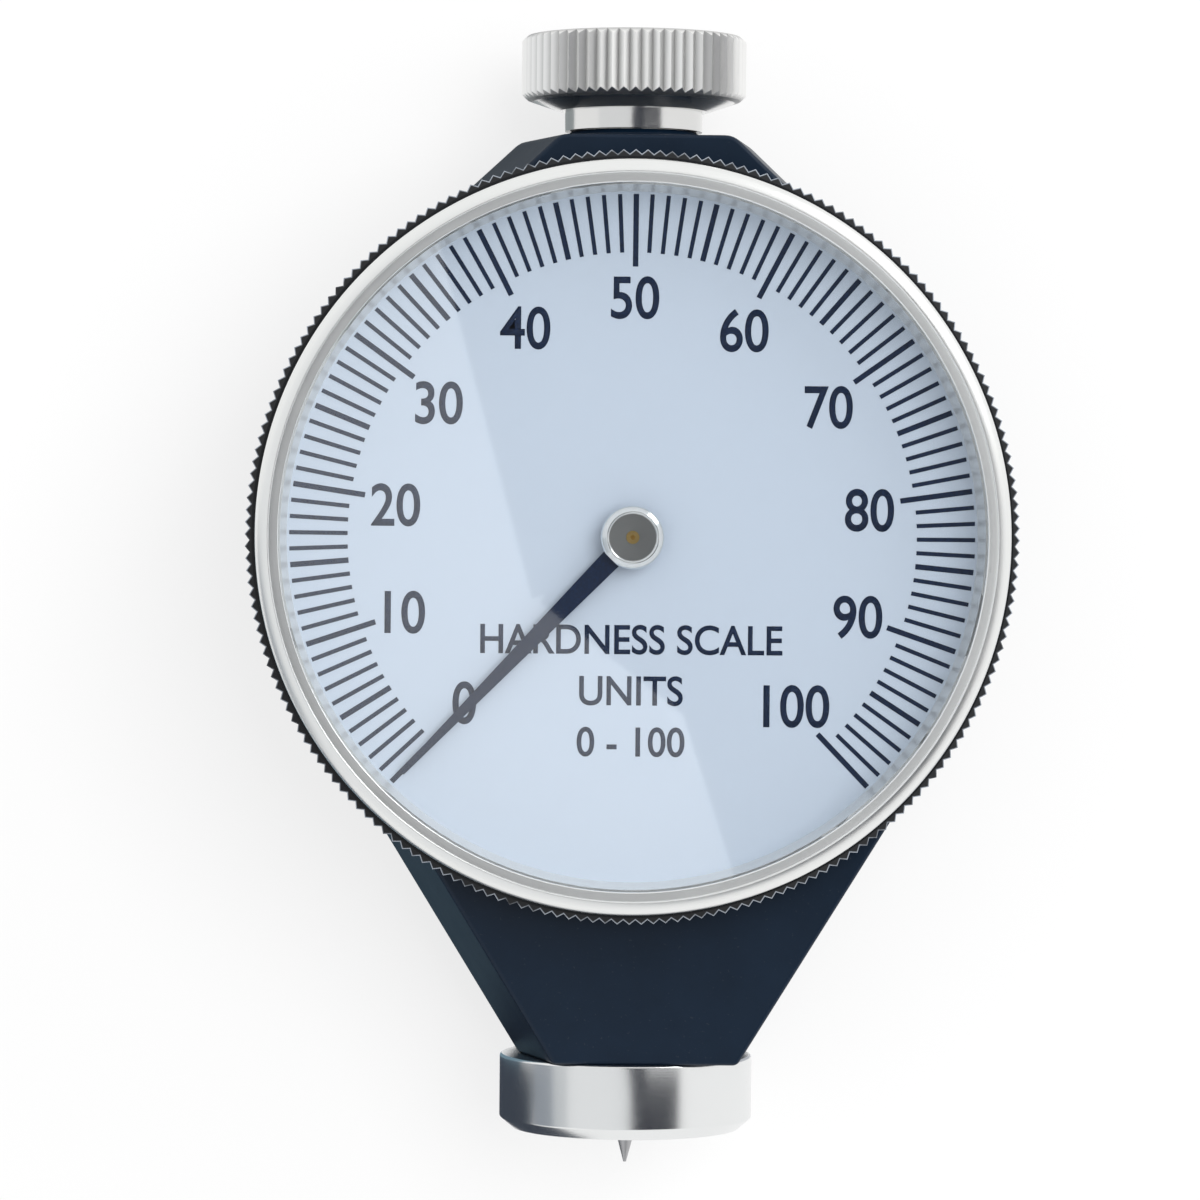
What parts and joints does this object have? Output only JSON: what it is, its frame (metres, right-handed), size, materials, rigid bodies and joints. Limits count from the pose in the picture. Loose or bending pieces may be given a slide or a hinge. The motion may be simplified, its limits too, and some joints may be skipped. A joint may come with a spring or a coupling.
{
  "type": "durometer",
  "caption": "Hand-held dial hardness gauge: round painted housing with tapered stem, presser foot with sprung needle, geared pointer, turning knurled bezel and top knob.",
  "frame": {"origin": "on the dial axis, in the outer face of the rear cover on which the gauge lies", "axes": "+Z out through the dial, +Y from the presser foot to the top knob, +X to the right of the reader"},
  "size_m": [0.0536, 0.0803, 0.026],
  "materials": {
    "black_paint": "satin",
    "black_anodised": "satin",
    "chrome": "polished",
    "satin_nickel": "satin",
    "polished_steel": "polished",
    "steel": "satin",
    "spring_steel": "satin",
    "brass": "satin",
    "grey_metal": "satin",
    "dial_white": "satin",
    "pointer_paint": "satin",
    "crystal": "gloss"
  },
  "bodies": {
    "housing_body": {"housing": "black_paint", "rear_cover": "black_paint", "rear_cover_screws": "steel", "presser_foot": "polished_steel", "guide_bush": "brass", "key_pin": "steel", "adjusting_plug": "brass", "calibrated_spring": "spring_steel", "movement_plate": "brass", "movement_plate_screws": "steel", "upper_bridge": "brass", "upper_pillars": "steel", "upper_bridge_screws": "steel", "lower_bridge": "brass", "lower_pillars": "steel", "lower_bridge_screws": "steel", "hairspring": "spring_steel", "hairspring_stud": "brass", "bezel_clip": "spring_steel"},
    "plunger_body": {"plunger": "steel", "indentor": "polished_steel", "indentor_screw": "steel"},
    "sector_body": {"sector_gear": "brass", "sector_arbor": "steel"},
    "pointer_body": {"pointer_arbor": "brass", "hairspring_collet": "brass", "pointer_needle": "pointer_paint", "pointer_hub": "chrome"},
    "bezel_body": {"knurled_ring": "black_anodised", "chrome_bezel": "chrome", "crystal": "crystal", "dial_spacer": "grey_metal", "dial_plate": "dial_white"},
    "knob_body": {"top_knob": "satin_nickel"}
  },
  "joints": [
    {"name": "plunger_slide", "type": "slide", "parent": "housing_body", "child": "plunger_body", "axis": [0, 1, 0], "range_m": [0, 0.0025], "stiffness_N_per_m": 17780, "deforming": ["calibrated_spring"]},
    {"name": "sector_turn", "type": "hinge", "parent": "housing_body", "child": "sector_body", "pos_m": [-0.0045, -0.01058, 0], "axis": [0, 0, 1], "range_deg": [0, 58]},
    {"name": "pointer_turn", "type": "hinge", "parent": "housing_body", "child": "pointer_body", "pos_m": [0, 0, 0], "axis": [0, 0, 1], "range_deg": [-275, 0]},
    {"name": "bezel_turn", "type": "hinge", "parent": "housing_body", "child": "bezel_body", "pos_m": [0, 0, 0], "axis": [0, 0, 1], "continuous": true},
    {"name": "knob_turn", "type": "hinge", "parent": "housing_body", "child": "knob_body", "pos_m": [0, 0, 0.01], "axis": [0, 1, 0], "continuous": true}
  ],
  "couplings": [
    {"joint": "sector_turn", "follows": "plunger_slide", "rad_per_m": 400},
    {"joint": "pointer_turn", "follows": "plunger_slide", "rad_per_m": -1900}
  ]
}
